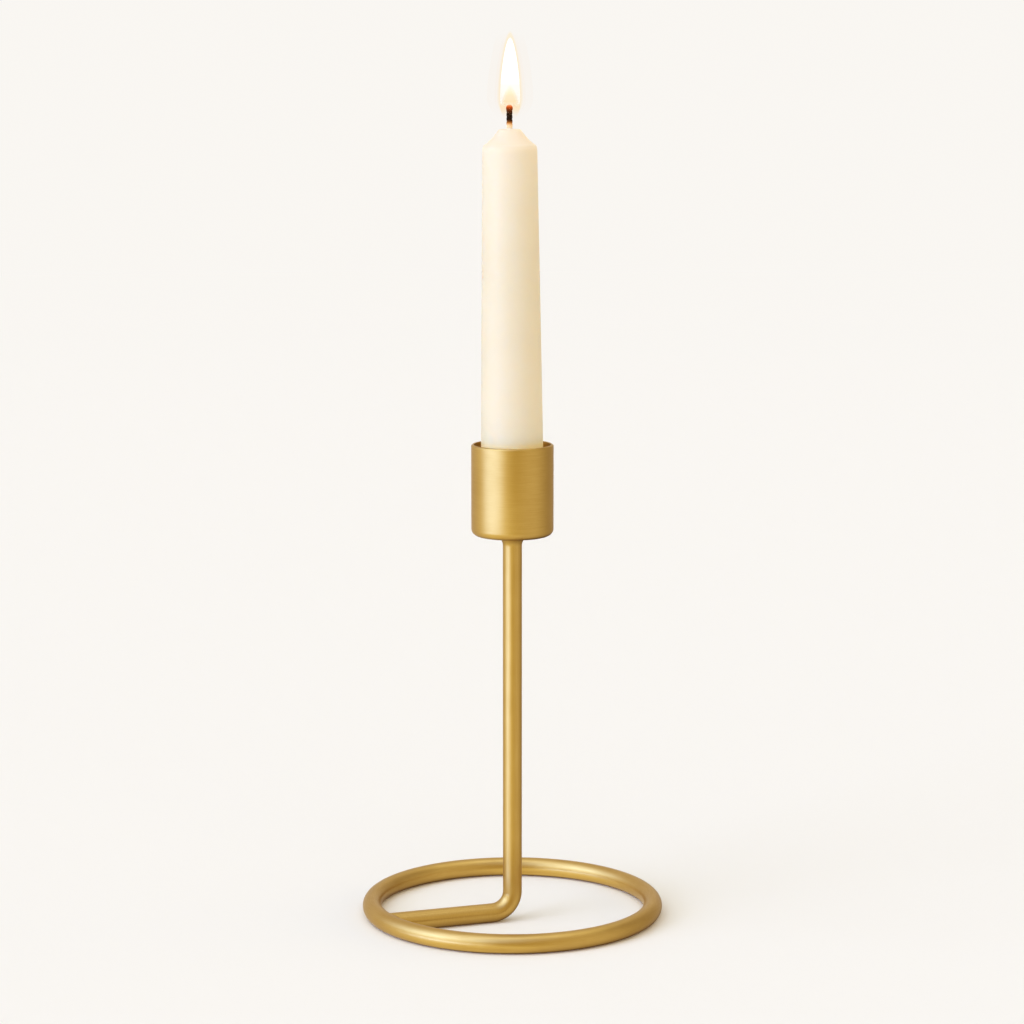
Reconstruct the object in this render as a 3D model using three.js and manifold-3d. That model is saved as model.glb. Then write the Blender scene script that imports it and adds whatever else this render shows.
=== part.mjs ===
import * as THREE from 'three';
import { mergeVertices } from 'three/addons/utils/BufferGeometryUtils.js';
import Module from 'manifold-3d';

// Taper candlestick: a turned cup screwed to an upright round bar, which bends at the table and
// runs out to a ring of the same bar. A lit taper candle stands in the cup.
// Millimetres, +Z up, origin on the table under the middle of the ring, foot arm along -X.

const wasm = await Module();
wasm.setup();

// Driving dimensions: brass bar and foot ring
const barDiameter = 6.35;
const ringOuterDiameter = 101.6;
const barSides = 16;
const ringSides = 64;

// Stem: where it stands, how high its cup seat is, and its bend
const stemX = -2.95;
const stemY = -8.5;
const stemHeight = 131.4;
const bendInnerRadius = 3.85;
const bendSteps = 8;
const weldGap = 0.3;

// Flared seat under the cup: a concave sweep out of the bar, then a short straight land
const flareRadius = 3.5;
const flareAngle = 62 * Math.PI / 180;
const flareLand = 0.4;

// Countersunk screw: its thread is what a wall of tapWall leaves free inside the bar
const tapWall = 0.85;
const screwClearance = 0.3;
const screwLength = 12;
const screwHeadOverhang = 1.75;
const screwHeadEdge = 0.2;
const screwSink = 0.1;
const screwEndChamfer = 0.5;
const socketAcrossFlats = 2.5;
const socketDepth = 1.3;
const tapMargin = 2;

// Candle, measured from its foot. It is loose in its cup and leans a little: leanDirection is an
// angle about +Z, and the foot's centre is candleOffset the other way and just clear of the floor.
const candleLength = 130.2;
const candleFootDiameter = 21.1;
const candleTaper = 3.2;
const candleSwell = 0.18;
const candleFootChamfer = 0.6;
const candleTipFlat = 7.1;
const candleConeHeight = 4.95;
const candleShoulderHeight = 2.2;
const candleConeEndInset = 0.78;
const dishRim = 0.9;
const dishDepth = 0.5;
const candleLean = 0.45 * Math.PI / 180;
const leanDirection = 161 * Math.PI / 180;
const candleOffset = 0.1;
const candleSeatGap = 0.1;

// Cup: its bore leaves candleClearance all round the candle's foot
const candleClearance = 2.1;
const cupWall = 0.95;
const cupHeight = 30.35;
const cupCornerRadius = 2.3;
const cupInnerCornerRadius = 1;
const floorUnderScrewHead = 0.95;

// Wick and flame
const wickDiameter = 2.1;
const wickExposed = 7.9;
const wickClearance = 0.3;
const flameBody = 2.4;
const flameHeightAboveWidest = 20.55;
const flameDepthBelowWidest = 7.6;
const flameOpenBelowWidest = 6.8;
const flameWidestAboveWickTip = 2.4;
const flamePointedness = 1.5;
const flameTaper = 0.58;

// Facets round the turned pieces
const cupSides = 48;
const candleSides = 48;
const screwSides = 24;
const wickSides = 12;
const flameSides = 32;
const flameSteps = 12;

// Worked out from the driving dimensions
const barRadius = barDiameter / 2;
const ringRadius = ringOuterDiameter / 2 - barRadius;
const bendRadius = bendInnerRadius + barRadius;
const screwRadius = barRadius - tapWall - screwClearance;
const screwHoleRadius = screwRadius + screwClearance;
const screwHeadRadius = screwRadius + screwHeadOverhang;
const screwHeadHeight = screwHeadEdge + screwHeadOverhang;
const cupFloor = floorUnderScrewHead + screwHeadHeight + screwSink;
const cupInnerRadius = candleFootDiameter / 2 + candleClearance;
const cupOuterRadius = cupInnerRadius + cupWall;
const wickRadius = wickDiameter / 2;
const wickHoleRadius = wickRadius + wickClearance;
const flameRadius = wickHoleRadius + flameBody;

// The bar's section, a polygon with a flat on each of its four sides, so that a bar lying down
// rests on the table along its whole length
function barSection(radius, centreX = 0) {
  const corner = radius / Math.cos(Math.PI / barSides);
  const points = [];
  for (let side = 0; side < barSides; side += 1) {
    const angle = 2 * Math.PI * (side + 0.5) / barSides;
    points.push(new THREE.Vector2(centreX + corner * Math.cos(angle), corner * Math.sin(angle)));
  }
  return points;
}

// A turned shape about +Z. The profile holds radius and height, and runs up its outer side.
function turned(points, sides, startAngle = 0) {
  return new THREE.LatheGeometry(points, sides, startAngle).rotateX(Math.PI / 2);
}

function ringGeometry(sectionRadius) {
  const section = barSection(sectionRadius, ringRadius);
  section.push(section[0].clone());
  return turned(section, ringSides);
}

// Corners used once each, and no triangle that has shrunk to a line at a turned piece's axis
function asSolid(geometry) {
  const bare = geometry.clone();
  bare.deleteAttribute('normal');
  bare.deleteAttribute('uv');
  const merged = mergeVertices(bare, 1e-4);
  const corners = [];
  for (let i = 0; i < merged.index.count; i += 3) {
    const [a, b, c] = [0, 1, 2].map((k) => merged.index.getX(i + k));
    if (a !== b && b !== c && c !== a) {
      corners.push(a, b, c);
    }
  }
  const mesh = new wasm.Mesh({
    numProp: 3,
    vertProperties: new Float32Array(merged.attributes.position.array),
    triVerts: new Uint32Array(corners),
  });
  return new wasm.Manifold(mesh);
}

function asGeometry(solid) {
  const mesh = solid.getMesh();
  const geometry = new THREE.BufferGeometry();
  geometry.setAttribute('position', new THREE.BufferAttribute(mesh.vertProperties, 3));
  geometry.setIndex(new THREE.BufferAttribute(mesh.triVerts, 1));
  geometry.computeVertexNormals();
  return geometry;
}

// The centre line of the foot arm and the bend, from the arm's end to the foot of the upright.
// Its stations are one end of the arm and then the even steps of the bend.
class FootLine extends THREE.Curve {
  constructor(armEnd) {
    super();
    this.stations = [{ point: armEnd, tangent: new THREE.Vector3(1, 0, 0) }];
    for (let step = 0; step <= bendSteps; step += 1) {
      const angle = step / bendSteps * Math.PI / 2;
      const point = new THREE.Vector3(
        bendRadius * (Math.sin(angle) - 1), 0, barRadius + bendRadius * (1 - Math.cos(angle)));
      const tangent = new THREE.Vector3(Math.cos(angle), 0, Math.sin(angle));
      this.stations.push({ point, tangent });
    }
  }

  station(along) {
    return this.stations[Math.round(along * (this.stations.length - 1))];
  }

  getPointAt(along, target = new THREE.Vector3()) {
    return target.copy(this.station(along).point);
  }

  getTangentAt(along, target = new THREE.Vector3()) {
    return target.copy(this.station(along).tangent);
  }
}

// Foot arm and bend as one run of bar. The arm reaches the ring's centre line, where it is coped.
function footGeometry() {
  const reach = Math.sqrt(ringRadius ** 2 - stemY ** 2) + stemX;
  const line = new FootLine(new THREE.Vector3(-reach, 0, barRadius));
  return new THREE.ExtrudeGeometry(new THREE.Shape(barSection(barRadius)), {
    steps: line.stations.length - 1,
    extrudePath: line,
    bevelEnabled: false,
  });
}

// Upright bar with its flared seat and the blind hole for the cup's screw
function uprightGeometry() {
  const foot = barRadius + bendRadius;
  const corner = barRadius / Math.cos(Math.PI / barSides);
  const flareStart = stemHeight - flareLand - flareRadius * Math.sin(flareAngle);
  const holeDepth = screwLength - (cupFloor - screwSink) + tapMargin;
  const profile = new THREE.Path();
  profile.moveTo(0, foot);
  profile.lineTo(corner, foot);
  profile.absarc(corner + flareRadius, flareStart, flareRadius, Math.PI, Math.PI - flareAngle, true);
  profile.lineTo(corner + flareRadius * (1 - Math.cos(flareAngle)), stemHeight);
  profile.lineTo(screwHoleRadius, stemHeight);
  profile.lineTo(screwHoleRadius, stemHeight - holeDepth);
  profile.lineTo(0, stemHeight - holeDepth);
  return turned(profile.getPoints(3), barSides, Math.PI / barSides);
}

function stemGeometry() {
  const cope = asSolid(ringGeometry(barRadius + weldGap).translate(-stemX, -stemY, barRadius));
  return asGeometry(asSolid(uprightGeometry()).add(asSolid(footGeometry())).subtract(cope));
}

// Turned cup: round lower corner, full-round lip, and a countersunk hole through its floor
function cupGeometry() {
  const headHoleRadius = screwHeadRadius + screwClearance;
  const coneTop = cupFloor - screwSink - screwHeadEdge;
  const profile = new THREE.Path();
  profile.moveTo(screwHoleRadius, 0);
  profile.lineTo(cupOuterRadius - cupCornerRadius, 0);
  profile.absarc(cupOuterRadius - cupCornerRadius, cupCornerRadius, cupCornerRadius,
    -Math.PI / 2, 0, false);
  profile.absarc(cupOuterRadius - cupWall / 2, cupHeight - cupWall / 2, cupWall / 2,
    0, Math.PI, false);
  profile.absarc(cupInnerRadius - cupInnerCornerRadius, cupFloor + cupInnerCornerRadius,
    cupInnerCornerRadius, 0, -Math.PI / 2, true);
  profile.lineTo(headHoleRadius, cupFloor);
  profile.lineTo(headHoleRadius, coneTop);
  profile.lineTo(screwHoleRadius, coneTop - screwHeadOverhang);
  profile.lineTo(screwHoleRadius, 0);
  return turned(profile.getPoints(2), cupSides);
}

// Countersunk screw with its head's top at height 0 and a hexagon socket in it
function screwGeometry() {
  const profile = new THREE.Path();
  profile.moveTo(0, -screwLength);
  profile.lineTo(screwRadius - screwEndChamfer, -screwLength);
  profile.lineTo(screwRadius, screwEndChamfer - screwLength);
  profile.lineTo(screwRadius, -screwHeadHeight);
  profile.lineTo(screwHeadRadius, -screwHeadEdge);
  profile.lineTo(screwHeadRadius, 0);
  profile.lineTo(0, 0);
  const corner = socketAcrossFlats / Math.sqrt(3);
  const socket = new THREE.CylinderGeometry(corner, corner, 2 * socketDepth, 6).rotateX(Math.PI / 2);
  return asGeometry(asSolid(turned(profile.getPoints(), screwSides)).subtract(asSolid(socket)));
}

// Taper candle: chamfered foot, faintly swelled body, rounded shoulder, hollow cone, a flat top
// with a melted dish, and the hole that the wick runs in
function waxGeometry() {
  const footRadius = candleFootDiameter / 2;
  const bodyTopRadius = footRadius - candleTaper / 2;
  const bodyTop = candleLength - candleConeHeight - candleShoulderHeight;
  const coneEnd = candleLength - candleConeHeight;
  const coneEndRadius = bodyTopRadius - candleConeEndInset;
  const flatRadius = candleTipFlat / 2;
  const profile = new THREE.Path();
  profile.moveTo(wickHoleRadius, 0);
  profile.lineTo(footRadius - candleFootChamfer, 0);
  profile.lineTo(footRadius, candleFootChamfer);
  profile.quadraticCurveTo(
    (footRadius + bodyTopRadius + candleSwell) / 2, bodyTop / 2, bodyTopRadius, bodyTop);
  profile.quadraticCurveTo(
    bodyTopRadius, bodyTop + 0.8 * candleShoulderHeight, coneEndRadius, coneEnd);
  profile.quadraticCurveTo(
    flatRadius + 0.62 * (coneEndRadius - flatRadius), coneEnd + 0.22 * candleConeHeight,
    flatRadius, candleLength);
  profile.lineTo(flatRadius - dishRim, candleLength);
  profile.quadraticCurveTo(
    wickHoleRadius + (flatRadius - dishRim - wickHoleRadius) / 2, candleLength - dishDepth,
    wickHoleRadius, candleLength - dishDepth);
  profile.lineTo(wickHoleRadius, 0);
  return turned(profile.getPoints(5), candleSides);
}

// Cotton wick from the candle's foot to a round tip above the wax
function wickGeometry() {
  const length = candleLength + wickExposed;
  const profile = new THREE.Path();
  profile.moveTo(0, 0);
  profile.lineTo(wickRadius, 0);
  profile.absarc(0, length - wickRadius, wickRadius, 0, Math.PI / 2, false);
  return turned(profile.getPoints(2), wickSides);
}

// Radius of the flame at a height above its widest place: a long pointed top, a round underside
function flameRadiusAt(height) {
  const shape = height > 0
    ? (height / flameHeightAboveWidest) ** flamePointedness
    : (height / flameDepthBelowWidest) ** 2;
  return flameRadius * Math.max(0, 1 - shape) ** flameTaper;
}

// Flame with height 0 at its widest place, open below and hollow round the tip of the wick
function flameGeometry() {
  const points = [];
  for (let step = 0; step <= flameSteps / 2; step += 1) {
    const height = -flameOpenBelowWidest * (1 - step / (flameSteps / 2));
    points.push(new THREE.Vector2(flameRadiusAt(height), height));
  }
  for (let step = 1; step <= flameSteps; step += 1) {
    const height = flameHeightAboveWidest * Math.sin(step / flameSteps * Math.PI / 2);
    points.push(new THREE.Vector2(step === flameSteps ? 0 : flameRadiusAt(height), height));
  }
  const domeCentre = -flameWidestAboveWickTip - wickRadius;
  const pocket = new THREE.Path();
  pocket.absarc(0, domeCentre, wickHoleRadius, Math.PI / 2, 0, true);
  pocket.lineTo(wickHoleRadius, -flameOpenBelowWidest);
  points.push(...pocket.getPoints(2), points[0].clone());
  return turned(points, flameSides);
}

function piece(name, geometry, material) {
  const mesh = new THREE.Mesh(geometry, new THREE.MeshStandardMaterial(material));
  mesh.name = name;
  return mesh;
}

const satinBrass = { color: 0xc39c4c, metalness: 1, roughness: 0.35 };

const baseRing = piece('base_ring', ringGeometry(barRadius), satinBrass);
baseRing.position.z = barRadius;

const stem = piece('stem', stemGeometry(), satinBrass);

const cup = piece('cup', cupGeometry(), satinBrass);
cup.position.z = stemHeight;

const cupScrew = piece('cup_screw', screwGeometry(), {
  color: 0xa3a29e, metalness: 1, roughness: 0.3,
});
cupScrew.position.z = stemHeight + cupFloor - screwSink;

const wax = piece('candle_wax', waxGeometry(), { color: 0xf5e8cc, roughness: 0.45 });
const wick = piece('wick', wickGeometry(), { color: 0x33271d, roughness: 0.9 });
const flame = piece('flame', flameGeometry(), {
  color: 0xfff4dc, emissive: 0xffe6a8, transparent: true, opacity: 0.8,
});

const candle = new THREE.Group();
candle.position.x = -candleOffset * Math.cos(leanDirection);
candle.position.y = -candleOffset * Math.sin(leanDirection);
candle.position.z = stemHeight + cupFloor + candleSeatGap;
const leanAxis = new THREE.Vector3(-Math.sin(leanDirection), Math.cos(leanDirection), 0);
candle.quaternion.setFromAxisAngle(leanAxis, candleLean);
candle.add(wax, wick);

// The flame stands straight up from the wick's tip
flame.position.set(0, 0, candleLength + wickExposed).applyQuaternion(candle.quaternion);
flame.position.add(candle.position);
flame.position.z += flameWidestAboveWickTip;

const onStem = new THREE.Group();
onStem.position.set(stemX, stemY, 0);
onStem.add(stem, cup, cupScrew, candle, flame);

const candlestick = new THREE.Group();
candlestick.add(baseRing, onStem);

export default candlestick;
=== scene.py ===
import math

import bmesh
import bpy
from mathutils import Matrix, Vector


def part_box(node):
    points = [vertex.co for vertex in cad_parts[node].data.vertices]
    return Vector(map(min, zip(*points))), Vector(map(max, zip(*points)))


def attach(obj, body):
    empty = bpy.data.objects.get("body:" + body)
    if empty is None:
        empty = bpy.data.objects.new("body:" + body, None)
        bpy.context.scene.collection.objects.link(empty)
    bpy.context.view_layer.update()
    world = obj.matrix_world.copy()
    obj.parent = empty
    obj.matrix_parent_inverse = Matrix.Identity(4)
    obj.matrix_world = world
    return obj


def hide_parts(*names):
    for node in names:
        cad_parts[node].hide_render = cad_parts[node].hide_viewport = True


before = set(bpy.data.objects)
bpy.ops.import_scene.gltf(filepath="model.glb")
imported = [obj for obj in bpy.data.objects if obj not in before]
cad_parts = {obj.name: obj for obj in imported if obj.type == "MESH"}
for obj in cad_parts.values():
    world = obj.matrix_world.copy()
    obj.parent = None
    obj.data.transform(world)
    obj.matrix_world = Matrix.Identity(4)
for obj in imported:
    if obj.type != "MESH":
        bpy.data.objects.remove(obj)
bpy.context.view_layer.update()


# Foot ring: round brass bar rolled into a closed ring, which lies flat on the table.
# The bar is drawn, rolled, welded shut and satin finished with a fine abrasive along its length.

ring_low, ring_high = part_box("base_ring")
bar_radius = (ring_high.z - ring_low.z) / 2
ring_radius = (ring_high.x - ring_low.x) / 2 - bar_radius
BAR_FACETS = 56
RING_STEPS = 320
SHARP_ANGLE = math.radians(35)
SAME_PLACE = 1e-7


def linear(red, green, blue):
    """A colour as a screen shows it, 0 to 255, as the linear colour that a shader takes."""
    shares = (value / 255 for value in (red, green, blue))
    return (*(s / 12.92 if s <= 0.04045 else ((s + 0.055) / 1.055) ** 2.4 for s in shares), 1)


def mesh_piece(name, bm, material, body, *nodes):
    """A smooth-shaded piece from a bmesh, riding on its body in place of its CAD nodes."""
    bmesh.ops.remove_doubles(bm, verts=bm.verts, dist=SAME_PLACE)
    bmesh.ops.recalc_face_normals(bm, faces=bm.faces)
    mesh = bpy.data.meshes.new(name)
    bm.to_mesh(mesh)
    bm.free()
    mesh.shade_smooth()
    mesh.set_sharp_from_angle(angle=SHARP_ANGLE)
    mesh.materials.append(material)
    piece = bpy.data.objects.new(name, mesh)
    bpy.context.scene.collection.objects.link(piece)
    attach(piece, body)
    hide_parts(*nodes)
    return piece


class Nodes:
    """A node tree of a new material or world, with a short way to add and link its nodes."""

    def __init__(self, name, kind=bpy.data.materials):
        self.material = kind.new(name)
        self.material.use_nodes = True
        self.tree = self.material.node_tree
        self.shader = self.tree.nodes.get("Principled BSDF")

    def add(self, kind, inputs=None, **settings):
        node = self.tree.nodes.new(kind)
        for key, value in settings.items():
            setattr(node, key, value)
        for key, value in (inputs or {}).items():
            self.set(node, key, value)
        return node

    def set(self, node, key, value):
        if isinstance(value, bpy.types.NodeSocket):
            self.tree.links.new(value, node.inputs[key])
        else:
            node.inputs[key].default_value = value

    def math(self, operation, *values):
        node = self.add("ShaderNodeMath", operation=operation)
        for index, value in enumerate(values):
            self.set(node, index, value)
        return node.outputs[0]

    def noise(self, vector, scale, detail=2.0, roughness=0.5):
        node = self.add("ShaderNodeTexNoise", {
            "Vector": vector, "Scale": scale, "Detail": detail, "Roughness": roughness})
        return node.outputs["Fac"]

    def remap(self, value, low, high, from_low=0.0, from_high=1.0, curve="LINEAR"):
        node = self.add("ShaderNodeMapRange", {
            "Value": value, "From Min": from_low, "From Max": from_high,
            "To Min": low, "To Max": high}, interpolation_type=curve)
        return node.outputs["Result"]

    def mix(self, share, first, second):
        node = self.add("ShaderNodeMix", {"Factor": share}, data_type="RGBA")
        self.set(node, 6, first)
        self.set(node, 7, second)
        return node.outputs[2]

    def ramp(self, value, stops):
        """A colour ramp of (position, colour) stops."""
        node = self.add("ShaderNodeValToRGB", {"Fac": value})
        elements = node.color_ramp.elements
        while len(elements) < len(stops):
            elements.new(0.5)
        for element, (position, colour) in zip(elements, stops):
            element.position = position
            element.color = colour
        return node

    def scaled(self, vector, x, y, z):
        node = self.add("ShaderNodeMapping", {"Vector": vector, "Scale": (x, y, z)})
        return node.outputs["Vector"]


BRASS = linear(195, 159, 92)
BRASS_DEEP = linear(186, 149, 82)
BRASS_EDGE = (0.9, 0.85, 0.78, 1)
# Painted shade: a dark brass mixed in underneath, low on the arm and in the corner under the cup,
# where shade falls.
BRASS_PAINTED_SHADE = linear(105, 68, 24)
BRASS_ROUGHNESS = 0.33
ROUGHNESS_SPREAD = 0.03
UNDERSIDE = (0.0003, 0.0009)
ARM_LOW_SIDE = (0.0020, 0.0036)
CORNER_BELOW_CUP = (0.0034, 0.0018)
CORNER_ON_CUP = (0.0003, 0.0010)
UNDERSIDE_SHADE_SHARE = 0.9
CORNER_SHADE_SHARE = 0.35
RING_MARK_DEPTH = 4e-6
under_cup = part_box("cup")[0].z


def satin_brass(name, streaks, depth, arm_shade_share=0.0):
    """Satin brass. streaks gives the vector along which the finishing marks are drawn out.

    Painted shade darkens its colour underneath, on the low side of the arm by a share that the caller
    gives, and in the corner under the cup.
    """
    nodes = Nodes(name)
    place = nodes.add("ShaderNodeTexCoord").outputs["Object"]
    height = nodes.add("ShaderNodeSeparateXYZ", {"Vector": place}).outputs["Z"]
    # Masks of painted shade: under the bars, on the low side of the arm, and in the corner under the
    # cup.
    low = nodes.math("MAXIMUM", nodes.remap(height, UNDERSIDE_SHADE_SHARE, 0.0, *UNDERSIDE),
                     nodes.remap(height, arm_shade_share, 0.0, *ARM_LOW_SIDE))
    corner = nodes.math("MULTIPLY", nodes.remap(
        height, 0.0, CORNER_SHADE_SHARE, *(under_cup - below for below in CORNER_BELOW_CUP)), nodes.remap(
        height, 1.0, 0.0, *(under_cup + above for above in CORNER_ON_CUP)))
    marks = streaks(nodes, place)
    fine = nodes.noise(marks, 1.0, 2.0, 0.6)
    cloud = nodes.noise(place, 90.0, 2.0)
    bump = nodes.add("ShaderNodeBump", {"Strength": 0.5, "Distance": depth, "Height": fine})
    shader = nodes.shader
    nodes.set(shader, "Base Color", nodes.mix(nodes.math("MAXIMUM", low, corner), nodes.mix(
        nodes.remap(nodes.math("ADD", cloud, fine), 0.0, 1.0, 0.7, 1.3), BRASS, BRASS_DEEP),
        BRASS_PAINTED_SHADE))
    nodes.set(shader, "Metallic", 1.0)
    nodes.set(shader, "Specular Tint", BRASS_EDGE)
    nodes.set(shader, "Roughness", nodes.remap(
        fine, BRASS_ROUGHNESS - ROUGHNESS_SPREAD, BRASS_ROUGHNESS + ROUGHNESS_SPREAD, 0.3, 0.7))
    nodes.set(shader, "Normal", bump.outputs["Normal"])
    return nodes.material


def around_ring(nodes, place):
    """Marks that run round the ring: fine across the bar, long along it."""
    parts = nodes.add("ShaderNodeSeparateXYZ", {"Vector": place})
    x, y, z = parts.outputs
    reach = nodes.math("SQRT", nodes.math("ADD", nodes.math("MULTIPLY", x, x),
                                          nodes.math("MULTIPLY", y, y)))
    turn = nodes.math("ARCTAN2", y, x)
    joined = nodes.add("ShaderNodeCombineXYZ", {
        "X": nodes.math("MULTIPLY", reach, 4000.0),
        "Y": nodes.math("MULTIPLY", z, 4000.0),
        "Z": nodes.math("MULTIPLY", turn, 12.0)})
    return joined.outputs["Vector"]


ring_brass = satin_brass("brass ring finish", around_ring, RING_MARK_DEPTH)

bm = bmesh.new()
bmesh.ops.create_circle(bm, segments=BAR_FACETS, radius=bar_radius, matrix=(
    Matrix.Translation((ring_radius, 0, bar_radius)) @ Matrix.Rotation(math.pi / 2, 4, "X")))
bmesh.ops.spin(bm, geom=bm.edges[:] + bm.verts[:], cent=(0, 0, 0), axis=(0, 0, 1),
               angle=2 * math.pi, steps=RING_STEPS, use_merge=True)
foot_ring = mesh_piece("foot_ring", bm, ring_brass, "holder", "base_ring")


# Stem: one length of the same bar. It lies on the table as a foot arm, turns up through a tight
# bend and ends in a small flared seat with a tapped hole. The arm is brazed to the ring's inside.

seat_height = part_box("stem")[1].z
cup_low, cup_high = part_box("cup")
stem_x = (cup_low.x + cup_high.x) / 2
stem_y = (cup_low.y + cup_high.y) / 2
BEND_INSIDE = 0.00385
FLARE_RADIUS = 0.0035
FLARE_ANGLE = math.radians(62)
FLARE_LAND = 0.0004
BRAZE_WIDTH = 0.0009
HOLE_RADIUS = 0.002025
HOLE_DEPTH = 0.0111
BEND_STEPS = 28
UPRIGHT_STEPS = 12
FLARE_STEPS = 10
BRAZE_STEPS = 8
ARM_PULLS = (0.010, 0.012)
ARM_END_SHARE = 0.5
STEM_MARK_DEPTH = 4e-6
# How much painted shade darkens the low side of the arm.
STEM_ARM_SHADE_SHARE = 0.33


def pull(bm, edges, shift):
    """Extrudes a ring of edges and moves the new ring. Returns its edges and vertices."""
    made = bmesh.ops.extrude_edge_only(bm, edges=edges)["geom"]
    verts = [g for g in made if isinstance(g, bmesh.types.BMVert)]
    bmesh.ops.translate(bm, verts=verts, vec=shift)
    known = set(verts)
    ring = [g for g in made if isinstance(g, bmesh.types.BMEdge) and set(g.verts) <= known]
    return ring, verts


def widen(bm, verts, centre, radius):
    """Scales a level ring of vertices to a radius about an upright axis through centre."""
    now = (verts[0].co - centre).to_2d().length
    share = radius / now
    bmesh.ops.scale(bm, verts=verts, vec=(share, share, 1), space=Matrix.Translation(-centre))


def along_bar(nodes, place):
    """Marks that run down the upright and along the arm."""
    return nodes.scaled(place, 2500.0, 2500.0, 60.0)


def on_ring(point):
    """The nearest point on the foot ring's surface."""
    middle = Vector((point.x, point.y, 0)).normalized() * ring_radius
    middle.z = bar_radius
    return middle + (point - middle).normalized() * bar_radius


bend_radius = BEND_INSIDE + bar_radius
bend_centre = Vector((stem_x - bend_radius, stem_y, bar_radius + bend_radius))

bm = bmesh.new()
bmesh.ops.create_circle(bm, segments=BAR_FACETS, radius=bar_radius, matrix=(
    Matrix.Translation((bend_centre.x, stem_y, bar_radius)) @ Matrix.Rotation(math.pi / 2, 4, "Y")))
arm_ring = bm.edges[:]
turned_up = bmesh.ops.spin(bm, geom=bm.edges[:] + bm.verts[:], cent=bend_centre, axis=(0, -1, 0),
                           angle=math.pi / 2, steps=BEND_STEPS)["geom_last"]
ring = [g for g in turned_up if isinstance(g, bmesh.types.BMEdge)]

flare_height = FLARE_RADIUS * math.sin(FLARE_ANGLE)
flare_start = seat_height - FLARE_LAND - flare_height
height = bend_centre.z
stem_axis = Vector((stem_x, stem_y, 0))
for step in range(1, UPRIGHT_STEPS + 1):
    level = bend_centre.z + (flare_start - bend_centre.z) * step / UPRIGHT_STEPS
    ring, verts = pull(bm, ring, (0, 0, level - height))
    height = level
for step in range(1, FLARE_STEPS + 1):
    angle = FLARE_ANGLE * step / FLARE_STEPS
    level = flare_start + FLARE_RADIUS * math.sin(angle)
    ring, verts = pull(bm, ring, (0, 0, level - height))
    widen(bm, verts, stem_axis, bar_radius + FLARE_RADIUS * (1 - math.cos(angle)))
    height = level
ring, verts = pull(bm, ring, (0, 0, seat_height - height))
ring, verts = pull(bm, ring, (0, 0, 0))
widen(bm, verts, stem_axis, HOLE_RADIUS)
ring, verts = pull(bm, ring, (0, 0, -HOLE_DEPTH))
bmesh.ops.edgeloop_fill(bm, edges=ring)

arm_axis = Vector((0, stem_y, bar_radius))
reach = -math.sqrt(ring_radius ** 2 - stem_y ** 2)
ring = arm_ring
for length in ARM_PULLS:
    ring, verts = pull(bm, ring, (-length, 0, 0))
ends = []
for vert in verts:
    out = Vector((0, vert.co.y, vert.co.z)) - arm_axis
    inside = ring_radius - math.sqrt(max(0.0, bar_radius ** 2 - out.z ** 2))
    meet = Vector((-math.sqrt(inside ** 2 - vert.co.y ** 2), vert.co.y, vert.co.z))
    start = meet + Vector((BRAZE_WIDTH, 0, 0))
    ends.append((start, meet, on_ring(meet + out.normalized() * BRAZE_WIDTH)))
for step in range(BRAZE_STEPS + 1):
    ring, verts = pull(bm, ring, (0, 0, 0))
    t = step / BRAZE_STEPS
    for vert, (start, meet, end) in zip(verts, ends):
        vert.co = start * (1 - t) ** 2 + meet * 2 * t * (1 - t) + end * t ** 2
ring, verts = pull(bm, ring, (0, 0, 0))
for vert in verts:
    out = Vector((0, vert.co.y, vert.co.z)) - arm_axis
    vert.co = Vector((reach, 0, 0)) + arm_axis + out.normalized() * bar_radius * ARM_END_SHARE
bmesh.ops.edgeloop_fill(bm, edges=ring)
stem_brass = satin_brass("brass stem finish", along_bar, STEM_MARK_DEPTH, STEM_ARM_SHADE_SHARE)
upright = mesh_piece("bent_stem", bm, stem_brass, "holder", "stem")


# Cup: turned from brass on a lathe, with a thin wall, a thicker floor, a round lower corner and
# a rounded lip. The lathe's finish leaves very fine marks round it.

CUP_WALL = 0.00095
CUP_FLOOR = 0.003
CUP_CORNER = 0.0023
CUP_INNER_CORNER = 0.001
CUP_LIP_OUTSIDE = 0.0007
CUP_LIP_INSIDE = 0.00022
CUP_STEPS = 256
SCREW_RADIUS = 0.002025
SCREW_HEAD_RADIUS = 0.003775
SCREW_SINK = 0.0001
SCREW_HEAD_EDGE = 0.0002
SCREW_SEAT_GAP = 0.0001
CUP_MARK_DEPTH = 8e-6


def spun(profile, centre, steps, closed=True):
    """A bmesh of a profile of (radius, height) turned about an upright axis through centre."""
    bm = bmesh.new()
    verts = [bm.verts.new((centre.x + radius, centre.y, height)) for radius, height in profile]
    for first, second in zip(verts, verts[1:] + verts[:1] if closed else verts[1:]):
        bm.edges.new((first, second))
    bmesh.ops.spin(bm, geom=bm.edges[:] + bm.verts[:], cent=centre, axis=(0, 0, 1),
                   angle=2 * math.pi, steps=steps, use_merge=True)
    bmesh.ops.remove_doubles(bm, verts=bm.verts, dist=SAME_PLACE)
    return bm


def round_rim(bm, centre, radius, height, by, segments):
    """Rounds the circular edge at that radius and height."""
    edges = []
    for edge in bm.edges:
        level = all(abs(v.co.z - height) < 1e-6 for v in edge.verts)
        if level and all(abs((v.co - centre).to_2d().length - radius) < 1e-6 for v in edge.verts):
            edges.append(edge)
    bmesh.ops.bevel(bm, geom=edges, offset=by, offset_type="OFFSET", affect="EDGES",
                    segments=segments, profile=0.5, material=-1)


def around_cup(nodes, place):
    """Lathe marks: very fine up and down the wall, drawn out round it."""
    return nodes.scaled(place, 160.0, 160.0, 5000.0)


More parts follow.
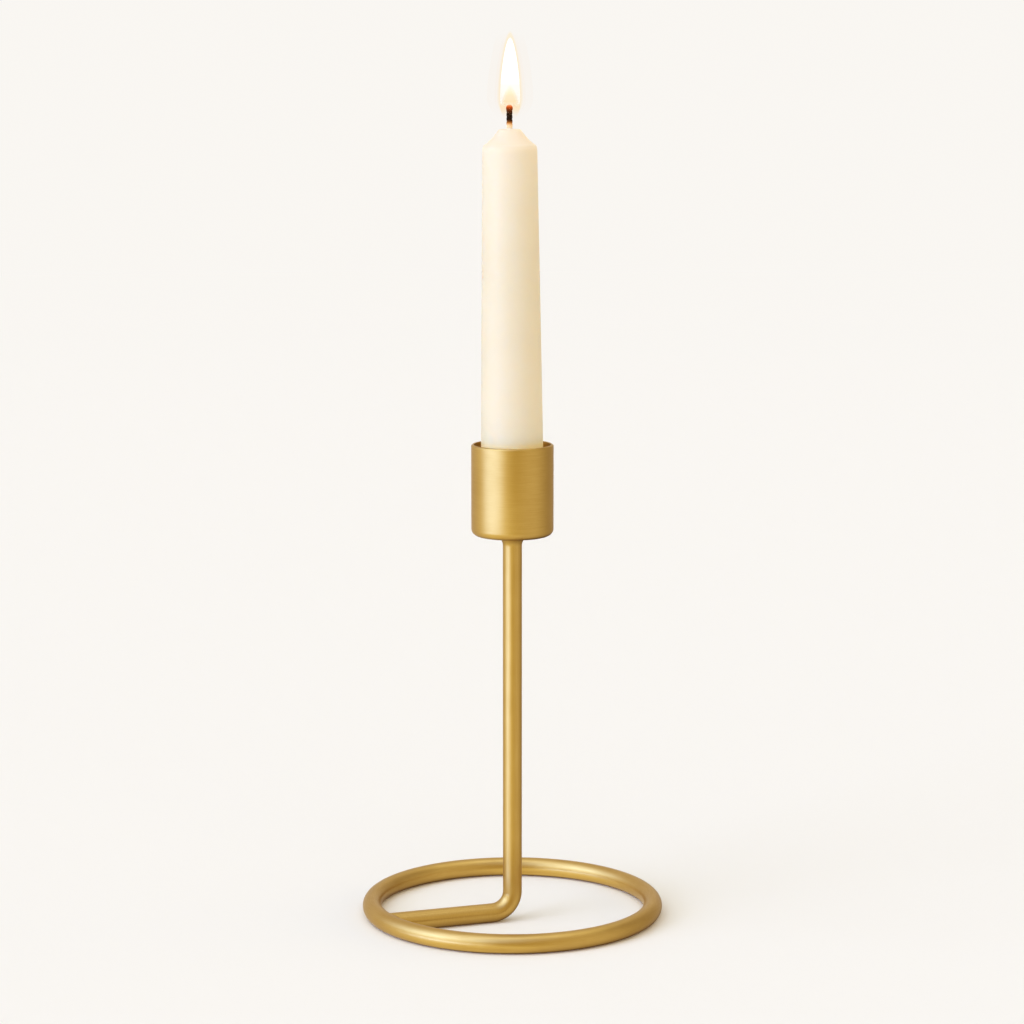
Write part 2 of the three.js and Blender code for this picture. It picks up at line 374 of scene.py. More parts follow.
cup_radius = (cup_high.x - cup_low.x) / 2
cup_inside = cup_radius - CUP_WALL
floor_top = cup_low.z + CUP_FLOOR
sunk_edge = floor_top - SCREW_SINK - SCREW_HEAD_EDGE
bm = spun([
    (SCREW_RADIUS, cup_low.z),
    (cup_radius, cup_low.z),
    (cup_radius, cup_high.z),
    (cup_inside, cup_high.z),
    (cup_inside, floor_top),
    (SCREW_HEAD_RADIUS + SCREW_SEAT_GAP, floor_top),
    (SCREW_HEAD_RADIUS + SCREW_SEAT_GAP, sunk_edge),
    (SCREW_RADIUS, sunk_edge - SCREW_HEAD_RADIUS + SCREW_RADIUS),
], stem_axis, CUP_STEPS)
round_rim(bm, stem_axis, cup_radius, cup_low.z, CUP_CORNER, 12)
round_rim(bm, stem_axis, cup_radius, cup_high.z, CUP_LIP_OUTSIDE, 8)
round_rim(bm, stem_axis, cup_inside, cup_high.z, CUP_LIP_INSIDE, 4)
round_rim(bm, stem_axis, cup_inside, floor_top, CUP_INNER_CORNER, 6)
cup_brass = satin_brass("brass cup finish", around_cup, CUP_MARK_DEPTH)
candle_cup = mesh_piece("turned_cup", bm, cup_brass, "holder", "cup")


# Cup screw: countersunk steel screw with a hexagon socket, through the cup's floor into the stem.
# It is zinc plated, and its head lies flush with the floor under the candle.

screw_low, screw_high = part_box("cup_screw")


def hexagon(angle, across):
    """Distance from the middle to the side of a hexagon at an angle."""
    return across / 2 / math.cos((angle % (math.pi / 3)) - math.pi / 6)


SCREW_FACETS = 48
SOCKET_ACROSS = 0.0025
SOCKET_DEPTH = 0.0013
THREAD_PITCH = 0.0007
THREAD_DEPTH = 0.0004
THREAD_RINGS = 8
THREAD_GAP = 0.0004
SOCKET_FLOOR_RADIUS = 0.0008
SOCKET_CHAMFER = 0.00012
HEAD_ROUNDING = [(0.0003, 0.0), (0.00008, 0.00003), (0.0, 0.00011), (0.0, SCREW_HEAD_EDGE)]
TIP_CHAMFER = 0.0007


def level_ring(bm, ring, height, radius_at):
    """Extrudes a ring and sets its height and its radius at each angle."""
    ring, verts = pull(bm, ring, (0, 0, 0))
    for vert in verts:
        arm = vert.co - stem_axis
        angle = math.atan2(arm.y, arm.x)
        radius = radius_at(angle)
        vert.co = stem_axis + Vector((radius * math.cos(angle), radius * math.sin(angle), height))
    return ring


bm = bmesh.new()
top = screw_high.z
bmesh.ops.create_circle(bm, cap_ends=True, segments=SCREW_FACETS, radius=SOCKET_FLOOR_RADIUS,
                        matrix=Matrix.Translation((stem_x, stem_y, top - SOCKET_DEPTH)))
ring = bm.edges[:]
ring = level_ring(bm, ring, top - SOCKET_DEPTH, lambda a: hexagon(a, SOCKET_ACROSS))
ring = level_ring(bm, ring, top - SOCKET_CHAMFER, lambda a: hexagon(a, SOCKET_ACROSS))
ring = level_ring(bm, ring, top, lambda a: hexagon(a, SOCKET_ACROSS + 2 * SOCKET_CHAMFER))
for inward, below in HEAD_ROUNDING:
    ring = level_ring(bm, ring, top - below, lambda a: SCREW_HEAD_RADIUS - inward)
neck = top - SCREW_HEAD_EDGE - SCREW_HEAD_RADIUS + SCREW_RADIUS
ring = level_ring(bm, ring, neck, lambda a: SCREW_RADIUS)
thread_top = neck - THREAD_GAP
turns = (thread_top - screw_low.z - THREAD_GAP) / THREAD_PITCH
for step in range(round(turns * THREAD_RINGS) + 1):
    height = thread_top - THREAD_PITCH * step / THREAD_RINGS
    fade = min(1.0, step / THREAD_RINGS)

    def thread(angle):
        turn = (height / THREAD_PITCH - angle / (2 * math.pi)) % 1
        return SCREW_RADIUS - fade * THREAD_DEPTH * abs(2 * turn - 1)

    ring = level_ring(bm, ring, height, thread)
ring = level_ring(bm, ring, screw_low.z, lambda a: SCREW_RADIUS - TIP_CHAMFER)
bmesh.ops.edgeloop_fill(bm, edges=ring)


def plated_steel():
    """Zinc plated steel, lightly clouded."""
    nodes = Nodes("zinc plated steel")
    place = nodes.add("ShaderNodeTexCoord").outputs["Object"]
    cloud = nodes.noise(place, 900.0, 4.0)
    tone = nodes.mix(cloud, linear(176, 175, 172), linear(196, 196, 194))
    nodes.set(nodes.shader, "Base Color", tone)
    nodes.set(nodes.shader, "Metallic", 1.0)
    nodes.set(nodes.shader, "Roughness", nodes.remap(cloud, 0.22, 0.38))
    bump = nodes.add("ShaderNodeBump", {"Strength": 0.3, "Distance": 1e-5, "Height": cloud})
    nodes.set(nodes.shader, "Normal", bump.outputs["Normal"])
    return nodes.material


seat_screw = mesh_piece("seat_screw", bm, plated_steel(), "holder", "cup_screw")


# Candle wax: a dipped ivory taper, burnt down to a steep hollow cone with a small melted dish round
# the wick. It is loose in its cup and leans a little. The wax is translucent. A painted glow stands
# in for the flame's light going down into it, and a painted yellow reflection with a faint glow
# stands in for the light that the cup throws back onto it.

CANDLE_LENGTH = 0.1302
CANDLE_FOOT_RADIUS = 0.01055
CANDLE_TAPER = 0.0016
CANDLE_SWELL = 0.00009
CANDLE_FOOT_EDGE = 0.0006
CANDLE_LEAN = math.radians(0.45)
LEAN_TURN = math.radians(161)
CANDLE_OFFSET = 0.0001
CANDLE_SEAT_GAP = 0.0001
CONE_HEIGHT = 0.00495
SHOULDER_HEIGHT = 0.0022
CONE_INSET = 0.00078
TIP_FLAT_RADIUS = 0.00355
DISH_RADIUS = 0.0027
DISH_DEPTH = 0.0005
SHOULDER_FULLNESS = 0.8
CONE_HOLLOW_ACROSS = 0.62
CONE_HOLLOW_UP = 0.22
TIP_EDGE_OUT = 0.0002
TIP_EDGE_IN = 0.0005
TIP_EDGE_DROP = 0.0004
WICK_HOLE_DROP = 0.0001
CANDLE_STEPS = 192
WICK_RADIUS = 0.00102

lean_way = Vector((math.cos(LEAN_TURN), math.sin(LEAN_TURN), 0))
candle_foot = stem_axis - lean_way * CANDLE_OFFSET + Vector((0, 0, floor_top + CANDLE_SEAT_GAP))
candle_place = Matrix.Translation(candle_foot) @ Matrix.Rotation(
    CANDLE_LEAN, 4, Vector((0, 0, 1)).cross(lean_way))
candle_top = candle_place @ Vector((0, 0, CANDLE_LENGTH))


def arc(start, control, end, steps):
    """Points after start on a smooth curve that leaves and arrives towards control."""
    points = []
    for step in range(1, steps + 1):
        t = step / steps
        points.append(tuple(
            a * (1 - t) ** 2 + b * 2 * t * (1 - t) + c * t ** 2
            for a, b, c in zip(start, control, end)))
    return points


body_top = CANDLE_LENGTH - CONE_HEIGHT - SHOULDER_HEIGHT
body_top_radius = CANDLE_FOOT_RADIUS - CANDLE_TAPER
cone_end = (body_top_radius - CONE_INSET, CANDLE_LENGTH - CONE_HEIGHT)
cone_span = cone_end[0] - TIP_FLAT_RADIUS
profile = [(WICK_RADIUS, 0), (CANDLE_FOOT_RADIUS - CANDLE_FOOT_EDGE, 0)]
profile += arc(profile[-1], (CANDLE_FOOT_RADIUS, 0), (CANDLE_FOOT_RADIUS, CANDLE_FOOT_EDGE), 5)
profile += arc(profile[-1], (
    (CANDLE_FOOT_RADIUS + body_top_radius) / 2 + CANDLE_SWELL, body_top / 2),
    (body_top_radius, body_top), 60)
profile += arc(profile[-1], (
    body_top_radius, body_top + SHOULDER_FULLNESS * SHOULDER_HEIGHT), cone_end, 10)
profile += arc(profile[-1], (
    TIP_FLAT_RADIUS + CONE_HOLLOW_ACROSS * cone_span, cone_end[1] + CONE_HOLLOW_UP * CONE_HEIGHT),
    (TIP_FLAT_RADIUS + TIP_EDGE_OUT, CANDLE_LENGTH - TIP_EDGE_DROP), 14)
profile += arc(profile[-1], (TIP_FLAT_RADIUS, CANDLE_LENGTH),
               (TIP_FLAT_RADIUS - TIP_EDGE_IN, CANDLE_LENGTH), 5)
profile += arc(profile[-1], ((DISH_RADIUS + WICK_RADIUS) / 2, CANDLE_LENGTH - 2 * DISH_DEPTH),
               (WICK_RADIUS, CANDLE_LENGTH - WICK_HOLE_DROP), 12)
bm = spun(profile, Vector(), CANDLE_STEPS)
bmesh.ops.transform(bm, matrix=candle_place, verts=bm.verts)

WAX = linear(228, 216, 188)
WAX_CLOUDED = linear(224, 211, 181)
# Painted light: the wax glows faintly all over and more near the flame, most at its tip, where the
# flame would light it. There its base colour is greyer under the glow.
WAX_NEAR_FLAME = linear(221, 211, 187)
WAX_UNDER_TIP_GLOW = linear(158, 156, 150)
# Painted reflection of the cup: just above and inside the rim the wax is yellower and glows a little,
# where the brass would throw light back.
WAX_CUP_REFLECTION = linear(226, 211, 172)
PLAIN_GLOW = (0.02, 0.005, 0.0, 1)
CUP_REFLECTION_GLOW = (0.21, 0.14, 0.03, 1)
LIT_GLOW = (0.12, 0.075, 0.035, 1)
TIP_PAINTED_GLOW = (0.57, 0.435, 0.265, 1)
LIT_DEPTHS = (0.040, 0.004)
TIP_GLOW_DEPTHS = (0.0085, 0.0035)
CUP_REFLECTION_ABOVE_RIM = (-0.0005, 0.0035)
CUP_REFLECTION_BELOW_RIM = (0.009, 0.002)
CUP_REACH = 0.008


def ivory_wax():
    """Candle wax: deep soft subsurface light, with a faint painted glow all over, more painted glow
    near the flame and most at the tip, and a painted yellow reflection of the cup in the cup's mouth.

    The painted reflection shows only where something stands close round the wax.
    """
    nodes = Nodes("ivory wax")
    place = nodes.add("ShaderNodeTexCoord").outputs["Object"]
    height = nodes.add("ShaderNodeSeparateXYZ", {"Vector": place}).outputs["Z"]
    lit = nodes.remap(height, 0.0, 1.0, *(candle_top.z - depth for depth in LIT_DEPTHS))
    flame_lit_tip = nodes.remap(height, 0.0, 1.0, *(candle_top.z - depth for depth in TIP_GLOW_DEPTHS),
                         "SMOOTHSTEP")
    # Where the painted reflection of the cup falls: a band round the rim, only where the wax is
    # closely surrounded.
    rim_band = nodes.math("MULTIPLY", nodes.remap(
        height, 1.0, 0.0, *(cup_high.z + above for above in CUP_REFLECTION_ABOVE_RIM), "SMOOTHSTEP"),
        nodes.remap(
            height, 0.0, 1.0, *(cup_high.z - below for below in CUP_REFLECTION_BELOW_RIM), "SMOOTHSTEP"))
    openness = nodes.add("ShaderNodeAmbientOcclusion", {"Distance": CUP_REACH}).outputs["AO"]
    cup_reflection = nodes.math("MULTIPLY", rim_band, nodes.remap(openness, 1.0, 0.0, 0.6, 0.97))
    cloud = nodes.noise(place, 90.0, 3.0)
    shader = nodes.shader
    shader.subsurface_method = "BURLEY"
    plain = nodes.mix(cup_reflection, nodes.mix(cloud, WAX, WAX_CLOUDED), WAX_CUP_REFLECTION)
    nodes.set(shader, "Base Color", nodes.mix(
        flame_lit_tip, nodes.mix(lit, plain, WAX_NEAR_FLAME), WAX_UNDER_TIP_GLOW))
    nodes.set(shader, "Roughness", nodes.remap(cloud, 0.36, 0.48))
    nodes.set(shader, "Specular IOR Level", 0.25)
    nodes.set(shader, "Subsurface Weight", 1.0)
    nodes.set(shader, "Subsurface Radius", (1.0, 0.45, 0.18))
    nodes.set(shader, "Subsurface Scale", 0.009)
    # Painted glow: faint all over, more near the flame, most at the tip, and a little where the cup
    # would throw light back.
    nodes.set(shader, "Emission Color", nodes.mix(flame_lit_tip, nodes.mix(
        lit, nodes.mix(cup_reflection, PLAIN_GLOW, CUP_REFLECTION_GLOW), LIT_GLOW), TIP_PAINTED_GLOW))
    nodes.set(shader, "Emission Strength", 1.0)
    bump = nodes.add("ShaderNodeBump", {"Strength": 0.2, "Distance": 1e-4, "Height": cloud})
    nodes.set(shader, "Normal", bump.outputs["Normal"])
    return nodes.material


taper = mesh_piece("wax_taper", bm, ivory_wax(), "candle", "candle_wax")


# Wick: braided cotton, cream where it leaves the wax, charred black above it, with a glowing tip.
# Thin strands are braided both ways round a core, which runs the candle's whole length. The ember
# at the tip is given as radii and depths below the tip, in millimetres.

WICK_EXPOSED = 0.0079
WICK_STRANDS = 3
STRAND_RADIUS = 0.00023
STRAND_PITCH = 0.0042
STRAND_TURN_STEPS = 14
STRAND_FACETS = 7
CORE_RADIUS = 0.00088
CORE_FACETS = 32
WICK_FOOT = 0.0001
BARE_TIP = 0.0012
EMBER = [(0.90, 2.0), (1.03, 1.7), (1.1, 1.3), (1.07, 0.92), (0.94, 0.55), (0.68, 0.24),
         (0.36, 0.06), (0, 0.0)]

wick_length = CANDLE_LENGTH + WICK_EXPOSED
strand_length = wick_length - BARE_TIP
bm = spun([(0, WICK_FOOT), (CORE_RADIUS, WICK_FOOT)] + [
    (radius / 1000, wick_length - below / 1000) for radius, below in EMBER
], Vector(), CORE_FACETS, closed=False)
strand_turns = strand_length / STRAND_PITCH
strand_steps = round(strand_turns * STRAND_TURN_STEPS)
for way in (-1, 1):
    strand = bmesh.new()
    bmesh.ops.create_circle(
        strand, cap_ends=True, segments=STRAND_FACETS, radius=STRAND_RADIUS,
        matrix=Matrix.Translation((WICK_RADIUS - STRAND_RADIUS, 0, WICK_FOOT)))
    far_end = bmesh.ops.spin(
        strand, geom=strand.edges[:] + strand.verts[:], cent=(0, 0, 0), axis=(0, 0, 1),
        dvec=(0, 0, strand_length / strand_steps), angle=way * 2 * math.pi * strand_turns,
        steps=strand_steps)["geom_last"]
    bmesh.ops.edgeloop_fill(strand, edges=[g for g in far_end if isinstance(g, bmesh.types.BMEdge)])
    strand_mesh = bpy.data.meshes.new("strand")
    strand.to_mesh(strand_mesh)
    strand.free()
    for number in range(WICK_STRANDS):
        turned = Matrix.Rotation(2 * math.pi * (number + 0.25 * way) / WICK_STRANDS, 4, "Z")
        strand_mesh.transform(turned)
        bm.from_mesh(strand_mesh)
        strand_mesh.transform(turned.inverted())
    bpy.data.meshes.remove(strand_mesh)
bmesh.ops.transform(bm, matrix=candle_place, verts=bm.verts)
wick_top = candle_place @ Vector((0, 0, wick_length))


CREAM = linear(244, 231, 205)
TOASTED = linear(239, 208, 162)
BROWNED = linear(206, 134, 62)
SCORCHED = linear(102, 54, 17)
CHARRED = linear(38, 24, 11)
# Painted light: weak glows that lighten the wick's foot and its browned part beside the bright wax.
WICK_FOOT_PAINTED_LIGHT = (0.0, 0.09, 0.19, 1)
BROWNED_PAINTED_LIGHT = (0.17, 0.12, 0.07, 1)
DARK = (0, 0, 0, 1)
FAINT_RED = (0.05, 0.011, 0.002, 1)
DULL_RED = (0.16, 0.024, 0.003, 1)
RED = (0.45, 0.054, 0.004, 1)
ORANGE_RED = (0.82, 0.13, 0.004, 1)
BRIGHT_EMBER = (0.95, 0.24, 0.02, 1)


def cotton():
    """Cotton by height: cream at the wax, scorched, charred, and an ember that glows at the tip.

    A weak painted glow low on the wick, at its cream foot and its browned part, lightens it beside
    the bright wax.
    """
    nodes = Nodes("burnt cotton")
    place = nodes.add("ShaderNodeTexCoord").outputs["Object"]
    height = nodes.add("ShaderNodeSeparateXYZ", {"Vector": place}).outputs["Z"]
    rough = nodes.noise(place, 2500.0, 3.0)
    uneven = nodes.math("ADD", height, nodes.math("MULTIPLY", nodes.math(
        "SUBTRACT", rough, 0.5), 0.0006))
    share = nodes.remap(uneven, 0.0, 1.0, candle_top.z, wick_top.z)
    colour = nodes.ramp(share, [
        (0.0, CREAM), (0.14, TOASTED), (0.24, BROWNED), (0.32, SCORCHED), (0.39, CHARRED),
        (1.0, CHARRED)]).outputs["Color"]
    glow = nodes.ramp(share, [
        (0.0, WICK_FOOT_PAINTED_LIGHT), (0.06, DARK), (0.15, BROWNED_PAINTED_LIGHT), (0.25, DARK), (0.62, DARK),
        (0.72, FAINT_RED), (0.80, DULL_RED), (0.88, RED), (0.93, ORANGE_RED),
        (1.0, BRIGHT_EMBER)]).outputs["Color"]
    nodes.set(nodes.shader, "Base Color", colour)
    nodes.set(nodes.shader, "Roughness", nodes.remap(rough, 0.8, 1.0))
    nodes.set(nodes.shader, "Specular IOR Level", 0.1)
    nodes.set(nodes.shader, "Emission Color", glow)
    nodes.set(nodes.shader, "Emission Strength", 1.0)
    bump = nodes.add("ShaderNodeBump", {"Strength": 0.5, "Distance": 5e-5, "Height": rough})
    nodes.set(nodes.shader, "Normal", bump.outputs["Normal"])
    return nodes.material


wick = mesh_piece("plaited_wick", bm, cotton(), "candle", "wick")


# Flame: burning gas, as thin layers inside each other. Two halos, two mantles and a foot tint what
# is behind them peach. A white body glows in them and thins out towards its foot, and two cones,
# yellow above and peach below, stand inside it over the wick.

flame_low, flame_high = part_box("flame")
FLAME_SHIFT = Vector((0.00022, -0.00008, 0))
flame_axis = FLAME_SHIFT + Vector((
    (flame_low.x + flame_high.x) / 2, (flame_low.y + flame_high.y) / 2, 0))
flame_radius = (flame_high.x - flame_low.x) / 2
FLAME_ABOVE_WIDEST = 0.02055
FLAME_BELOW_WIDEST = 0.0076
FLAME_POINTEDNESS = 1.5
FLAME_TAPER = 0.58
FLAME_SPAN = 28
FLAME_FACETS = 96
FLAME_STEPS = 44


def flame_outline(inset, drop, start):
    """The flame's outline from a height up to its tip, moved in by a width and down at the tip."""
    above = FLAME_ABOVE_WIDEST - drop
    widest = flame_high.z - FLAME_ABOVE_WIDEST
    points = []
    for step in range(FLAME_STEPS + 1):
        height = start + (widest + above - start) * math.sin(step / FLAME_STEPS * math.pi / 2)
        rise = height - widest
        if rise > 0:
            shape = (rise / above) ** FLAME_POINTEDNESS
        else:
            shape = (rise / FLAME_BELOW_WIDEST) ** 2
        points.append(((flame_radius - inset) * max(0.0, 1 - shape) ** FLAME_TAPER, height))
    points[-1] = (0, points[-1][1])
    return points


def by_height(nodes, stops):
    """A ramp whose stops are millimetres below the flame's tip, a colour and how solid it is.

    A stop above the tip counts as the tip.
    """
    place = nodes.add("ShaderNodeTexCoord").outputs["Object"]
    height = nodes.add("ShaderNodeSeparateXYZ", {"Vector": place}).outputs["Z"]
    share = nodes.remap(height, 0.0, 1.0, flame_high.z - FLAME_SPAN / 1000, flame_high.z)
    return nodes.ramp(share, [
        (1 - below / FLAME_SPAN, (*colour, solid)) for below, colour, solid in stops])


def glowing(name, strength, stops):
    """A layer that only glows. strength is its highest colour value, as a ramp's colours end at 1."""
    nodes = Nodes(name)
    ramp = by_height(nodes, [
        (below, [part / strength for part in colour], solid) for below, colour, solid in stops])
    shader = nodes.shader
    nodes.set(shader, "Base Color", DARK)
    nodes.set(shader, "Specular IOR Level", 0.0)
    nodes.set(shader, "Roughness", 1.0)
    nodes.set(shader, "Emission Color", ramp.outputs["Color"])
    nodes.set(shader, "Emission Strength", strength)
    nodes.set(shader, "Alpha", ramp.outputs["Alpha"])
    return nodes.material


def tinting(name, tint, glow, stops):
    """A layer that tints what is behind it and glows very little, each in full where a stop is 1."""
    nodes = Nodes(name)
    shader = nodes.shader
    nodes.set(shader, "Base Color", by_height(nodes, [
        (below, [part ** share for part in tint], 1) for below, share in stops]).outputs["Color"])
    nodes.set(shader, "Transmission Weight", 1.0)
    nodes.set(shader, "IOR", 1.0)
    nodes.set(shader, "Roughness", 0.0)
    nodes.set(shader, "Emission Color", by_height(nodes, [
        (below, [part * share for part in glow], 1) for below, share in stops]).outputs["Color"])
    nodes.set(shader, "Emission Strength", 1.0)
    return nodes.material


def flame_layer(name, profile, material):
    """A spun layer of the flame. It casts no shadow, because it is light.

    It lights nothing either: glows in the wax's own material stand in for that.
    """
    bm = spun(profile, flame_axis, FLAME_FACETS, closed=False)
    layer = mesh_piece(name, bm, material, "candle", "flame")
    layer.visible_shadow = False
    layer.visible_diffuse = False


def below_tip(profile):
    """A profile of (radius, millimetres below the flame's tip) in metres."""
    return [(radius / 1000, flame_high.z - below / 1000) for radius, below in profile]


HALOS = [(0.0013, 0.0023), (0.0038, 0.0068)]
HALO_TINT = (1, 0.982, 0.966)
MANTLES = [(0.0004, 0.0005, (1, 0.975, 0.91)), (0.0, 0.0, (1, 0.965, 0.868))]
MANTLE_GLOW = (0.008, 0.003, 0)
FOOT_TINT = (1, 0.925, 0.82)
FLAME_FOOT_GLOW = (0.006, 0.002, 0)
BODY_INSET = 0.00053
BODY_DROP = 0.0016
BODY_LENGTH = 0.0248
BRIGHTEST = 1.6
BRIGHT = (BRIGHTEST, BRIGHTEST, BRIGHTEST)
WHITE = (1.05, 1.07, 1.11)
PEACH = (0.95, 0.74, 0.42)
ORANGE = (0.93, 0.65, 0.18)
YELLOW = (0.86, 0.78, 0.05)
CONES = {
    "outer": (0.4, [(2.7, 24.0), (2.7, 23.0), (2.55, 21.75), (2.15, 20.4), (1.65, 19.2),
                    (1.1, 18.1), (0.6, 17.2), (0.0, 16.5)]),
    "inner": (0.8, [(2.1, 24.0), (2.1, 23.0), (1.9, 21.75), (1.4, 20.4), (0.9, 19.2),
                    (0.5, 18.2), (0.25, 17.4), (0.0, 17.0)]),
}
for number, (reach, rise) in enumerate(HALOS, start=1):
    flame_layer(f"flame_halo_{number}", flame_outline(-reach, -rise, flame_low.z), tinting(
        "flame halo", HALO_TINT, (0, 0, 0),
        [(28.0, 0), (22.0, 0.8), (12.0, 1), (4.0, 0.8), (-3.0 * number, 0)]))
for number, (reach, rise, tint) in enumerate(MANTLES, start=1):
    flame_layer(f"flame_mantle_{number}", flame_outline(-reach, -rise, flame_low.z), tinting(
        "flame mantle", tint, MANTLE_GLOW,
        [(28.0, 0), (26.6, 0), (26.0, 0.15), (25.0, 0.6), (24.0, 0.95), (23.4, 1), (0.0, 1)]))
flame_layer("flame_foot", below_tip([
    (1.7, 28.0), (2.15, 27.2), (2.55, 26.2), (2.82, 25.4), (3.05, 24.6), (3.2, 23.8),
    (3.2, 22.8), (3.05, 21.6)]),
    tinting("flame foot", FOOT_TINT, FLAME_FOOT_GLOW, [
        (28.0, 0), (27.0, 0.1), (26.2, 0.3), (25.4, 0.65), (24.8, 0.9), (24.2, 1), (23.5, 1),
        (23.1, 0.8), (22.6, 0.4), (22.0, 0), (21.6, 0)]))
flame_layer("flame_body", flame_outline(
    BODY_INSET, BODY_DROP, flame_high.z - BODY_LENGTH), glowing("flame body", BRIGHTEST, [
        (23.7, WHITE, 0.0), (23.4, WHITE, 0.03), (23.1, WHITE, 0.14), (22.5, WHITE, 0.36),
        (21.5, WHITE, 0.47), (20.0, WHITE, 0.54), (18.5, WHITE, 0.72), (16.6, WHITE, 0.95),
        (15.0, BRIGHT, 1.0)]))
for name, (solid, profile) in CONES.items():
    flame_layer(f"flame_{name}_cone", below_tip(profile), glowing(f"flame {name} cone", 1.0, [
        (24.0, PEACH, 0.0), (23.3, PEACH, 0.04 * solid), (22.9, PEACH, 0.35 * solid),
        (22.5, PEACH, 0.8 * solid), (22.0, ORANGE, solid), (20.5, ORANGE, solid),
        (19.0, YELLOW, solid)]))


# Stage: a pale floor that turns into a plain background of the same colour far from the object, so
# that no horizon shows, the studio's light, and the camera, whose place and lens were found from
# the outline of the foot ring. The floor doesn't show in the brass.

BACKGROUND = linear(249.5, 246.5, 242)
PICTURE_SIDE = 1024
CAMERA_TURN = math.radians(-19.16)
CAMERA_DISTANCE = 1.0076
CAMERA_HEIGHT = 0.2914
CAMERA_PITCH = math.radians(8.6695)
FOCAL_PIXELS = 3057.5
RING_CENTRE_PIXEL = 512.39
SENSOR_WIDTH = 36
FLOOR_HALF_SIDE = 20
FLOOR_TURNS_PLAIN = (1.2, 3.0)

floor_nodes = Nodes("pale paper")
floor_nodes.set(floor_nodes.shader, "Roughness", 1.0)
floor_nodes.set(floor_nodes.shader, "Specular IOR Level", 0.0)
place = floor_nodes.add("ShaderNodeTexCoord").outputs["Object"]
reach = floor_nodes.add("ShaderNodeVectorMath", {0: place}, operation="LENGTH").outputs["Value"]
far = floor_nodes.remap(reach, 0.0, 1.0, *FLOOR_TURNS_PLAIN, "SMOOTHSTEP")
floor_nodes.set(floor_nodes.shader, "Base Color", floor_nodes.mix(far, BACKGROUND, DARK))
floor_nodes.set(floor_nodes.shader, "Emission Color", floor_nodes.mix(far, DARK, BACKGROUND))
floor_nodes.set(floor_nodes.shader, "Emission Strength", 1.0)
bm = bmesh.new()
bmesh.ops.create_grid(bm, x_segments=1, y_segments=1, size=FLOOR_HALF_SIDE)
floor_mesh = bpy.data.meshes.new("floor")
bm.to_mesh(floor_mesh)
bm.free()
floor_mesh.materials.append(floor_nodes.material)
floor = bpy.data.objects.new("floor", floor_mesh)
bpy.context.scene.collection.objects.link(floor)
floor.visible_glossy = False


def toward(turn, rise):
    """Direction from the object, turned right of the camera and raised, in degrees."""
    a = CAMERA_TURN + math.radians(turn)
    e = math.radians(rise)
    return Vector((math.sin(a) * math.cos(e), -math.cos(a) * math.cos(e), math.sin(e)))


# The studio as the brass shows it: pale walls, a darker side and front, and two softboxes, fitted
# to the brass in the photograph. Each patch has its turn and rise, half width and softness in
# degrees, how flat it is, and its colour. It shows to mirrored rays alone.
PALE_ROOM = (1.42, 1.43, 0.99, 1)
STUDIO = [
    (109.3, -16.8, 70.5, 11.0, 1.0, (0.50, 0.42, 0.28)),
    (17.4, 37.6, 40.8, 14.8, 0.7, (0.64, 0.47, 0.0)),
    (58.3, -16.2, 37.1, 40.0, 0.4, (1.02, 0.97, 0.74)),
    (-78.0, 29.7, 9.6, 40.0, 2.8, (3.3, 5.1, 11.3)),
    (-57.9, -4.3, 29.1, 8.2, 5.0, (2.42, 3.4, 7.4)),
    (-156.9, 3.7, 58.7, 40.0, 0.5, (0.85, 0.79, 0.68)),
    (167.7, -43.7, 22.8, 11.3, 0.6, (0.10, 0.05, 0.05)),
    (-20.6, -61.4, 13.9, 40.0, 1.0, (0.74, 0.60, 0.38)),
]
room = Nodes("studio", bpy.data.worlds)
room.tree.nodes.clear()
bpy.context.scene.world = room.material
room.material.cycles.sampling_method = "NONE"
direction = room.add("ShaderNodeTexCoord").outputs["Generated"]
studio = room.add("ShaderNodeRGB").outputs[0]
studio.default_value = PALE_ROOM
for turn, rise, wide, soft, flat, colour in STUDIO:
    middle = toward(turn, rise) * Vector((1, 1, flat))
    squashed = room.add("ShaderNodeVectorMath", {0: room.scaled(direction, 1, 1, flat)},
                        operation="NORMALIZE").outputs[0]
    along = room.add("ShaderNodeVectorMath", {0: squashed, 1: middle.normalized()},
                     operation="DOT_PRODUCT").outputs["Value"]
    share = room.remap(room.math("ARCCOSINE", along), 1.0, 0.0,
                       math.radians(wide - soft), math.radians(wide + soft), "SMOOTHSTEP")
    studio = room.mix(share, studio, (*colour, 1))
# What is seen through the flame counts as mirrored too, so it is taken off again.
path = room.add("ShaderNodeLightPath")
through = path.outputs["Is Transmission Ray"]
mirrored = room.math("SUBTRACT", path.outputs["Is Glossy Ray"], through)
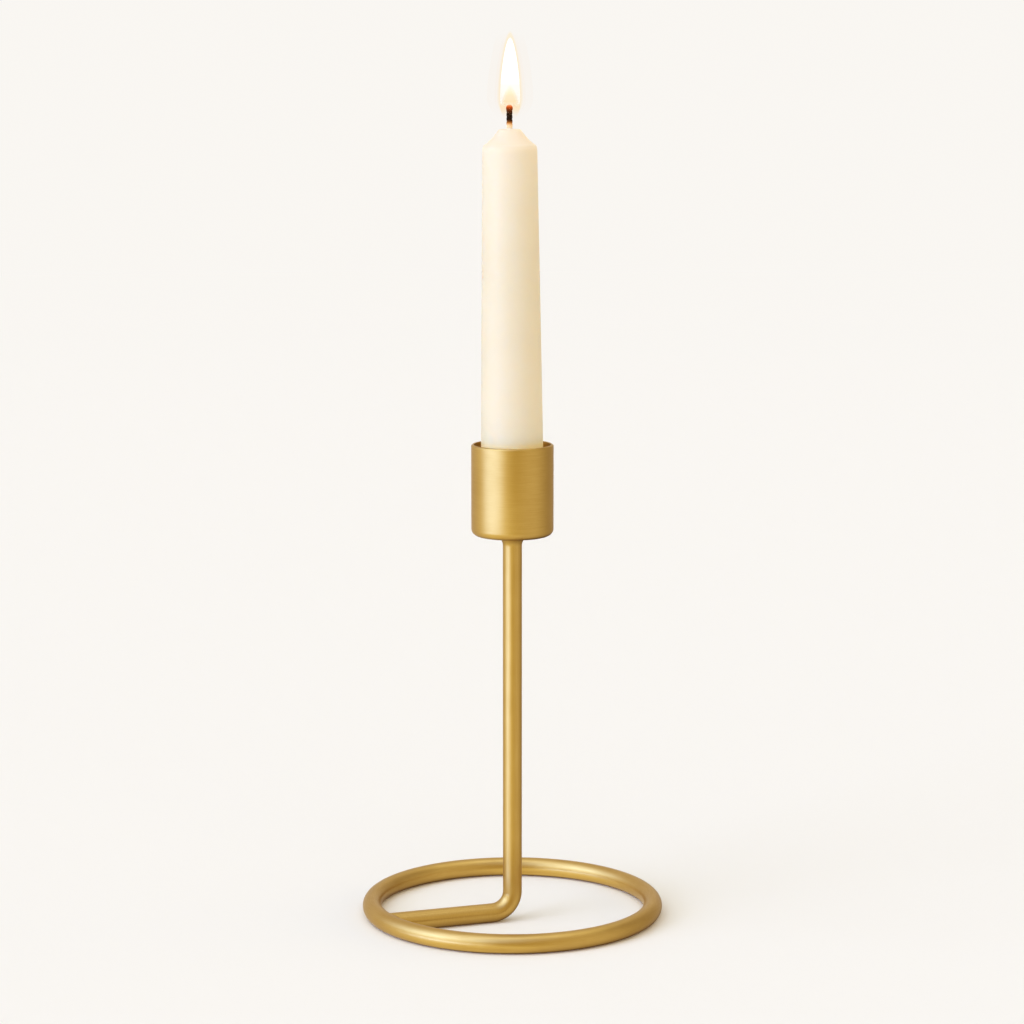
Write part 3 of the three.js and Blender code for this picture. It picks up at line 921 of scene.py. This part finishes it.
# Lamps for the floor and the wax: turn, rise, spread, share of the floor's light, and colour.
# The even light of the room gives the rest, so that the floor shows just its own colour.
LAMPS = {
    "low softbox": (-54, 12, 36, 0.090, (0.76, 0.93, 1.48)),
    "high softbox": (-66, 48, 46, 0.13, (0.90, 1.0, 1.15)),
    "front softbox": (-12, 40, 80, 0.12, (1.03, 1.0, 0.96)),
    "top softbox": (0, 80, 70, 0.14, (1.0, 1.0, 1.0)),
    "warm reflector": (95, 10, 40, 0.034, (1.33, 1.0, 0.4)),
}
even_light = [1.0, 1.0, 1.0]
for name, (turn, rise, spread, share, colour) in LAMPS.items():
    even_light = [level - share * part for level, part in zip(even_light, colour)]
    light = bpy.data.lights.new(name, "SUN")
    light.angle = math.radians(spread)
    light.energy = math.pi * share / math.sin(math.radians(rise))
    light.color = colour
    lamp = bpy.data.objects.new(name, light)
    lamp.rotation_mode = "QUATERNION"
    lamp.rotation_quaternion = toward(turn, rise).to_track_quat("Z", "Y")
    lamp.visible_glossy = False
    bpy.context.scene.collection.objects.link(lamp)
fill = room.add("ShaderNodeBackground", {"Color": (*even_light, 1), "Strength": 1.0})
shown = room.add("ShaderNodeBackground", {
    "Color": room.mix(mirrored, BACKGROUND, studio), "Strength": 1.0})
mixed = room.add("ShaderNodeMixShader", {
    0: room.math("MAXIMUM", path.outputs["Is Camera Ray"], path.outputs["Is Glossy Ray"]),
    1: fill.outputs[0], 2: shown.outputs[0]})
room.add("ShaderNodeOutputWorld", {"Surface": mixed.outputs[0]})

camera = bpy.data.objects.new("camera", bpy.data.cameras.new("camera"))
camera.data.sensor_width = SENSOR_WIDTH
camera.data.lens = FOCAL_PIXELS / PICTURE_SIDE * SENSOR_WIDTH
camera.data.clip_end = 100
off_axis = (RING_CENTRE_PIXEL - PICTURE_SIDE / 2) / FOCAL_PIXELS * CAMERA_DISTANCE
back = Vector((math.sin(CAMERA_TURN), -math.cos(CAMERA_TURN), 0))
right = Vector((math.cos(CAMERA_TURN), math.sin(CAMERA_TURN), 0))
camera.location = back * CAMERA_DISTANCE - right * off_axis + Vector((0, 0, CAMERA_HEIGHT))
camera.rotation_euler = (math.pi / 2 - CAMERA_PITCH, 0, CAMERA_TURN)
bpy.context.scene.collection.objects.link(camera)
bpy.context.scene.camera = camera
bpy.context.scene.view_settings.view_transform = "Standard"
